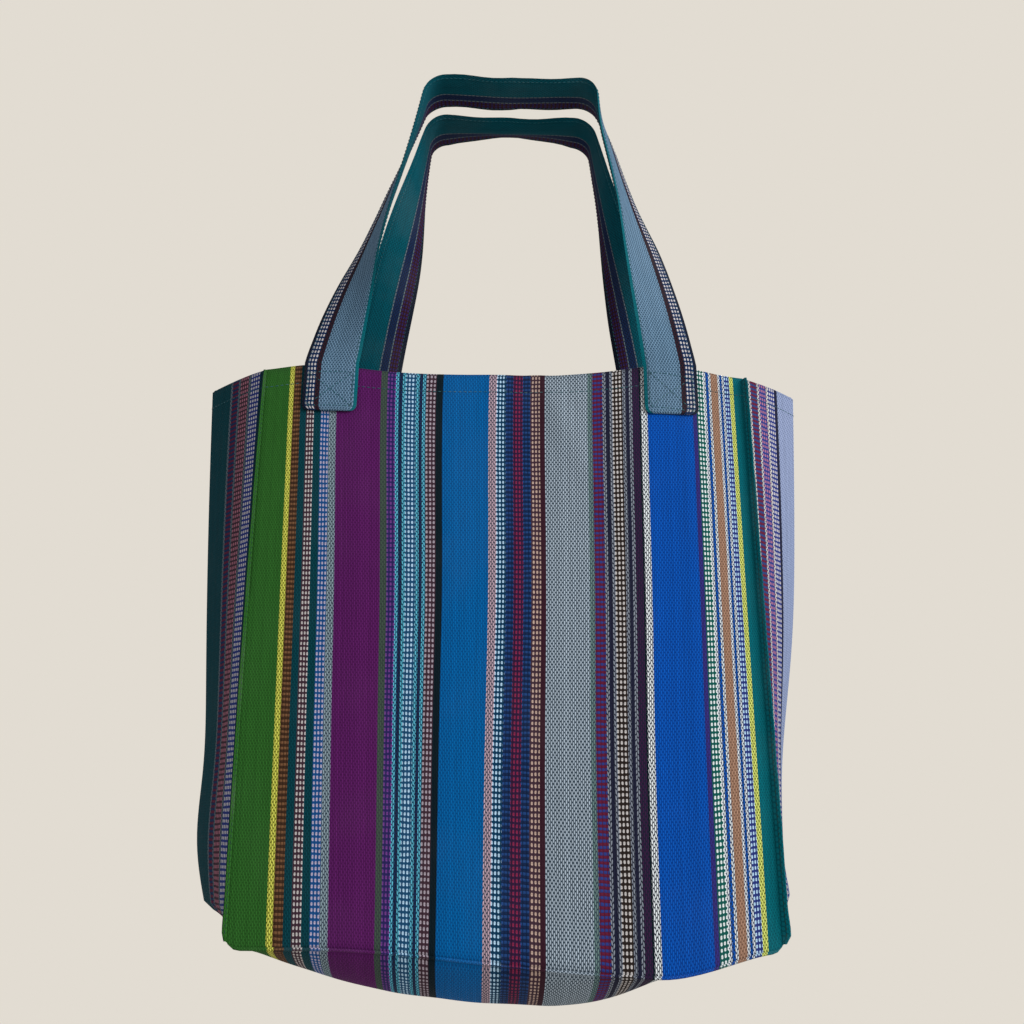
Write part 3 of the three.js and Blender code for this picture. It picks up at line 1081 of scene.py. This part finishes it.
straps = {face: buildStrap(face) for face in (-1, 1)}
print("straps built")


# thread
thread = {"length": 2.1 * mm, "pitch": 3.0 * mm, "radius": 0.22 * mm}


def resampled(points, pitch):
    # evenly spaced places along a line, each with its direction
    places, carried = [], pitch / 2
    for first, second in zip(points, points[1:]):
        span = (second - first).length
        if span < 1e-7:
            continue
        while carried < span:
            places.append((first.lerp(second, carried / span), (second - first) / span))
            carried += pitch
        carried -= span
    return places


def stitchPiece(name, runs, size=1.0, material=tealThread):
    places = [place for points in runs for place in resampled(points, thread["pitch"])]
    batches = []
    for first in range(0, len(places), 24):
        batch = bmesh.new()
        for centre, way in places[first:first + 24]:
            turn = way.to_track_quat("Z", "Y").to_matrix().to_4x4()
            width = thread["radius"] * size
            scale = Matrix.Diagonal((width, width, thread["length"] / 2, 1))
            where = Matrix.Translation(centre) @ turn @ scale
            bmesh.ops.create_uvsphere(batch, u_segments=6, v_segments=4, radius=1, matrix=where)
        batches.append(batch)
    mesh = joined(batches)
    for face in mesh.faces:
        face.smooth = True
    return finished(mesh, name, material)


def hemRun():
    return [ringAt(bag["height"] - 11 * mm, -0.15 * mm)]


def cornerRun(side, face):
    runs = []
    for flank in (-1, 1):
        line = []
        for row in range(61):
            height = mixed(3 * mm, bag["height"] - 3 * mm, row / 60)
            corner, out, towardsPanel = cornerFrame(side, face, height)
            ridge = corner + out * tuck["width"][side] * tuck["stitchShare"]
            line.append(ridge + towardsPanel * flank * (tuck["thickness"] / 2 + 0.05 * mm))
        runs.append(line)
    return runs


def strapEdgeRuns(face):
    frames, rows, lengths = straps[face][1:]
    runs = []
    inset = strap["width"] / 2 - strap["stitchInset"]
    for a in (-inset, inset):
        for through in (-1, 1):
            outward = through * (strap["thickness"] / 2 * 0.8 + 0.1 * mm)
            line = []
            for j in range(6, len(rows) - 6):
                if rows[j][0] == "loop" or through > 0:
                    line.append(strapSurface(face, rows[j], frames[j], lengths[j], a, outward))
            runs.append(line)
    return runs


def boxRuns(face, endX):
    half = strap["width"] / 2 - 3 * mm
    low, high = bag["height"] - strap["endHeight"] + 3 * mm, bag["height"] - 5 * mm

    def onStrap(x, height):
        surface = panelPoint(face, endX + x, height)
        y = surface.y + face * (strap["gap"] + strap["thickness"] + 0.08 * mm)
        return Vector((endX + x, y, surface.z))

    def line(x0, h0, x1, h1):
        return [onStrap(mixed(x0, x1, i / 10), mixed(h0, h1, i / 10)) for i in range(11)]

    return [line(-half, low, half, low), line(half, low, half, high), line(half, high, -half, high),
            line(-half, high, -half, low), line(-half, low, half, high), line(half, low, -half, high)]


hemStitches = stitchPiece("hem_stitching", hemRun())
cornerStitches, strapStitches = {}, {}
for face in (-1, 1):
    runs = cornerRun(-1, face) + cornerRun(1, face)
    cornerStitches[face] = stitchPiece(f"{faceNames[face]}_ridge_stitching", runs, 0.9, darkThread)
for face in (-1, 1):
    strapStitches[face] = stitchPiece(f"{faceNames[face]}_strap_stitching", strapEdgeRuns(face), 0.8)
boxStitches = {}
for face in (-1, 1):
    for end, endX in enumerate(strapShapes[face]["ends"]):
        name = f"{faceNames[face]}_{('left', 'right')[end]}"
        boxStitches[name] = stitchPiece(f"{name}_box_stitching", boxRuns(face, endX), 1.05)
print("stitching built")


# frame calls
for piece in (shell, topHem, hemStitches):
    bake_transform(piece)
gussets = [f"{faceNames[face]}_{sideNames[side]}_gusset" for face in (-1, 1) for side in (-1, 1)]
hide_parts("front_panel", "back_panel", "base_panel", *gussets)
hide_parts("front_hem", "back_hem", *[f"{name}_hem" for name in gussets])
for (side, face), piece in cornerTucks.items():
    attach(piece, f"{faceNames[face]}_body")
    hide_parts(f"{faceNames[face]}_{sideNames[side]}_corner_tuck")
for face, piece in baseTucks.items():
    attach(piece, "front_body")
    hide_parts(f"{faceNames[face]}_base_tuck")
for side, piece in sideSeams.items():
    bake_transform(piece)
    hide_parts(f"{sideNames[side]}_side_seam")
for face, piece in cornerStitches.items():
    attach(piece, f"{faceNames[face]}_body")

for face in straps:
    piece, name = straps[face][0], faceNames[face]
    for part in (piece, strapStitches[face]):
        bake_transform(part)
    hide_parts(f"{name}_handle_loop", f"{name}_left_handle_end", f"{name}_right_handle_end")
for name, piece in boxStitches.items():
    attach(piece, f"{name.split('_')[0]}_body")
    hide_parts(f"{name}_box_stitch")

for face in straps:
    piece, lengths = straps[face][0], straps[face][3]


# floor, light and camera
def buildFloor():
    mesh = bmesh.new()
    bmesh.ops.create_grid(mesh, x_segments=8, y_segments=8, size=1.6)
    bmesh.ops.translate(mesh, verts=mesh.verts, vec=(0, 0.2, -1.1))
    material, tree, shader = startMaterial("pale_floor", 0.0)
    where = tree.nodes.new("ShaderNodeTexCoord")
    patches = ramped(tree, noisy(tree, where.outputs["Object"], 3.0, 4.0), 0.3, 0.7)
    pale = mixColour(tree, patches, yarn(226, 221, 213), yarn(234, 230, 223))
    link(tree, pale, shader.inputs["Base Color"])
    shader.inputs["Roughness"].default_value = 0.9
    return finished(mesh, "floor", material)


buildFloor()


def areaLight(name, place, target, size, power, colour):
    light = bpy.data.lights.new(name, "AREA")
    light.energy, light.size, light.color = power, size, colour
    lamp = bpy.data.objects.new(name, light)
    lamp.location = place
    lamp.rotation_euler = (Vector(target) - Vector(place)).to_track_quat("-Z", "Y").to_euler()
    bpy.context.scene.collection.objects.link(lamp)


bagMiddle = (0, 0, -0.37)
areaLight("window", (1.25, -0.95, 0.15), bagMiddle, 0.8, 30.0, (1.0, 0.985, 0.96))
areaLight("fill", (-1.2, -1.3, -0.1), bagMiddle, 1.4, 3.0, (0.95, 0.98, 1.0))

world = bpy.data.worlds.new("soft_room")
bpy.context.scene.world = world
world.use_nodes = True
room = world.node_tree
wall = room.nodes["Background"]
wall.inputs["Color"].default_value, wall.inputs["Strength"].default_value = (*yarn(226, 220, 210), 1), 1.0
ambient = room.nodes.new("ShaderNodeBackground")
ambient.inputs["Color"].default_value, ambient.inputs["Strength"].default_value = (0.78, 0.77, 0.76, 1), 0.62
seen, blend = room.nodes.new("ShaderNodeLightPath"), room.nodes.new("ShaderNodeMixShader")
link(room, seen.outputs["Is Camera Ray"], blend.inputs[0])
link(room, ambient.outputs[0], blend.inputs[1])
link(room, wall.outputs[0], blend.inputs[2])
link(room, blend.outputs[0], room.nodes["World Output"].inputs["Surface"])
bpy.context.scene.view_settings.view_transform = "Standard"

shot = {"place": (-8 * mm, -574 * mm, -484 * mm), "tilt": 18.4, "yaw": -1.3, "roll": 0.4, "lens": 35.5}
camera = bpy.data.objects.new("camera", bpy.data.cameras.new("camera"))
camera.data.lens, camera.data.sensor_width = shot["lens"], 36
camera.data.clip_start = 0.01
camera.matrix_world = (
    Matrix.Translation(shot["place"])
    @ Matrix.Rotation(math.radians(shot["yaw"]), 4, "Z")
    @ Matrix.Rotation(math.radians(90 + shot["tilt"]), 4, "X")
    @ Matrix.Rotation(math.radians(shot["roll"]), 4, "Z")
)
bpy.context.scene.collection.objects.link(camera)
bpy.context.scene.camera = camera
